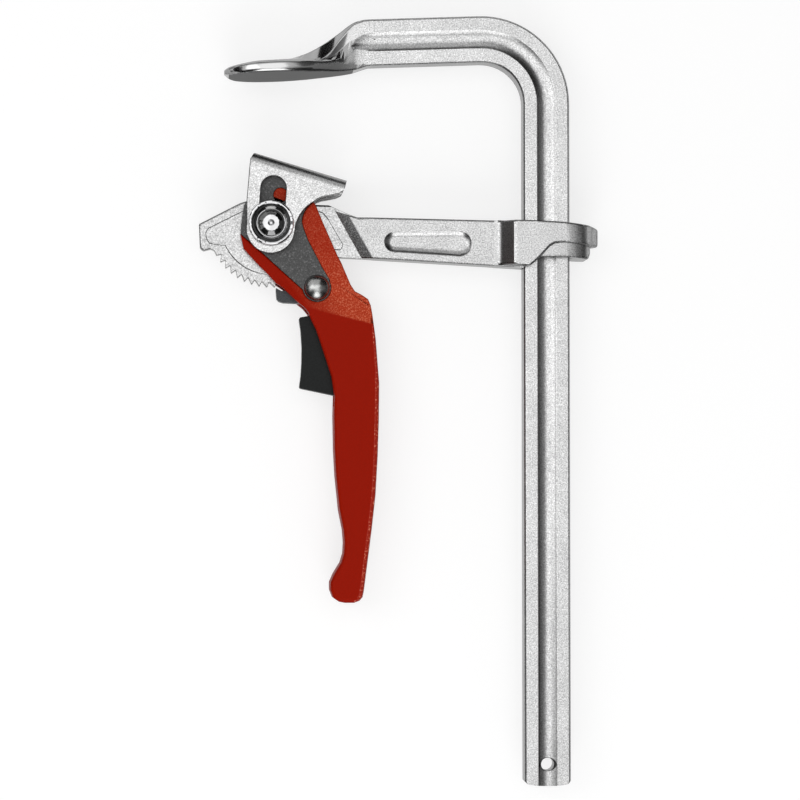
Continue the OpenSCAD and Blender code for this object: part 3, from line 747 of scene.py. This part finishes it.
def make_lamps():
    """A wide lamp overhead, a strong one in front and a smaller one at the left."""
    lamps = (("overhead", (0.0, 0.1, 2.0), 1.6, 1.6, 7.4), ("front", (0.0, -1.35, 1.1), 1.4, 1.3, 10),
             ("left", (-0.8, 0.2, 1.15), 0.8, 0.8, 2.8))
    for name, spot, width, height, power in lamps:
        data = bpy.data.lights.new(name, "AREA")
        data.shape = "ELLIPSE"
        data.size = width
        data.size_y = height
        data.energy = power
        lamp = bpy.data.objects.new(name, data)
        lamp.location = spot
        lamp.rotation_euler = (-Vector(spot)).to_track_quat("-Z", "Y").to_euler()
        bpy.context.scene.collection.objects.link(lamp)


def card_finish(name, base, top):
    """Evenly glowing card, of its base shade up to 0.4 m over the floor and paler towards 1.75 m."""
    material = bpy.data.materials.new(name)
    material.use_nodes = True
    tree = material.node_tree
    tree.nodes.clear()
    out = tree.nodes.new("ShaderNodeOutputMaterial")
    where = tree.nodes.new("ShaderNodeTexCoord").outputs["Object"]
    height = add(tree, "ShaderNodeSeparateXYZ", {}, {0: where})
    level = add(tree, "ShaderNodeMapRange", {1: 0.4, 2: 1.75, 3: 0.0, 4: 1.0},
                {0: height.outputs["Z"]})
    tint = ramp(tree, level.outputs[0], [(0.0, linear(base)), (1.0, linear(top))])
    card_face = add(tree, "ShaderNodeEmission", {"Strength": 1.0}, {"Color": tint})
    tree.links.new(card_face.outputs[0], out.inputs["Surface"])
    return material


def make_flags():
    """Dark cards in a ring round the clamp that give the bright metal its dark edges. They are seen
    in reflections only, and cast no shadow. Each has its turn, the distance of its foot and its head,
    its height and its two shades."""
    cards = (("card_right", 0, 1.15, 0.5, 1.75, "#606060", "#C8C8C8"),
             ("card_back_right", 45, 1.15, 0.8, 1.2, "#1C1C1C", "#707070"),
             ("card_back", 90, 1.15, 1.05, 0.5, "#1C1C1C", "#C8C8C8"),
             ("card_back_left", 135, 1.15, 1.1, 0.3, "#1C1C1C", "#707070"),
             ("card_left", 180, 1.15, 1.05, 0.6, "#1C1C1C", "#C8C8C8"),
             ("card_front_left", 225, 1.15, 0.8, 1.2, "#1C1C1C", "#707070"),
             ("card_front", 270, 1.15, 1.15, 0.3, "#1C1C1C", "#C8C8C8"),
             ("card_front_right", 315, 1.15, 0.8, 1.2, "#1C1C1C", "#707070"))
    for name, turn, foot, head, height, base, top in cards:
        deselect()
        bpy.ops.mesh.primitive_plane_add(size=1, location=(0, 0, 0))
        card = bpy.context.object
        card.name = name
        a = math.radians(turn)
        out, across = Vector((math.cos(a), math.sin(a), 0)), Vector((-math.sin(a), math.cos(a), 0))
        half = math.tan(math.radians(22.5))
        low, high = out * foot + Vector((0, 0, 0.01)), out * head + Vector((0, 0, height))
        corners = (low - across * foot * half, low + across * foot * half,
                   high - across * head * half, high + across * head * half)
        for vertex, corner in zip(card.data.vertices, corners):
            vertex.co = corner
        card.data.materials.append(card_finish(name, base, top))
        card.visible_camera = False
        card.visible_shadow = False
        card.visible_diffuse = False


def make_world():
    world = bpy.data.worlds.new("Studio")
    bpy.context.scene.world = world
    world.use_nodes = True
    tree = world.node_tree
    tree.nodes.clear()
    out = tree.nodes.new("ShaderNodeOutputWorld")
    light = add(tree, "ShaderNodeBackground", {"Color": linear("#FFFFFF"), "Strength": 0.42})
    white = add(tree, "ShaderNodeBackground", {"Color": linear("#FFFFFF"), "Strength": 1.0})
    mix = add(tree, "ShaderNodeMixShader", {},
              {0: shown_rays(tree), 1: light.outputs[0], 2: white.outputs[0]})
    tree.links.new(mix.outputs[0], out.inputs["Surface"])


def make_camera():
    data = bpy.data.cameras.new("camera")
    camera = bpy.data.objects.new("camera", data)
    bpy.context.scene.collection.objects.link(camera)
    data.lens = 119.69
    data.sensor_width = 36
    data.shift_x = 0.03
    data.shift_y = 0.05
    data.clip_end = 20
    camera.location = (-100 * MM, -50 * MM, 1368.5 * MM)
    camera.rotation_euler = [math.radians(a) for a in (1.266, -3.734, -0.052)]
    bpy.context.scene.camera = camera
    bpy.context.scene.view_settings.view_transform = "Standard"


class CLAMP_PT_panel(bpy.types.Panel):
    """Lists the clamp's settings and its pieces"""
    bl_label = "Lever clamp"
    bl_idname = "CLAMP_PT_panel"
    bl_space_type = "VIEW_3D"
    bl_region_type = "UI"
    bl_category = "Clamp"

    def draw(self, context):
        for group in (context.scene.clamp_sizes, context.scene.clamp_colours):
            for key in group.__annotations__:
                self.layout.prop(group, key)
        for kind in PIECES:
            self.layout.operator(kind.bl_idname)


PIECES = (CLAMP_OT_rail, CLAMP_OT_arm, CLAMP_OT_lever, CLAMP_OT_cams, CLAMP_OT_catch, CLAMP_OT_pad,
          CLAMP_OT_rivets, CLAMP_OT_stage)


def register():
    for kind in (ClampSizes, ClampColours, *PIECES, CLAMP_PT_panel):
        bpy.utils.register_class(kind)
    bpy.types.Scene.clamp_sizes = bpy.props.PointerProperty(type=ClampSizes)
    bpy.types.Scene.clamp_colours = bpy.props.PointerProperty(type=ClampColours)


def unregister():
    del bpy.types.Scene.clamp_colours
    del bpy.types.Scene.clamp_sizes
    for kind in reversed((ClampSizes, ClampColours, *PIECES, CLAMP_PT_panel)):
        bpy.utils.unregister_class(kind)


def main():
    register()
    bpy.ops.clamp.rail()
    bpy.ops.clamp.arm()
    bpy.ops.clamp.lever()
    bpy.ops.clamp.cams()
    bpy.ops.clamp.catch()
    bpy.ops.clamp.pad()
    bpy.ops.clamp.rivets()
    bpy.ops.clamp.stage()


if __name__ == "__main__":
    main()
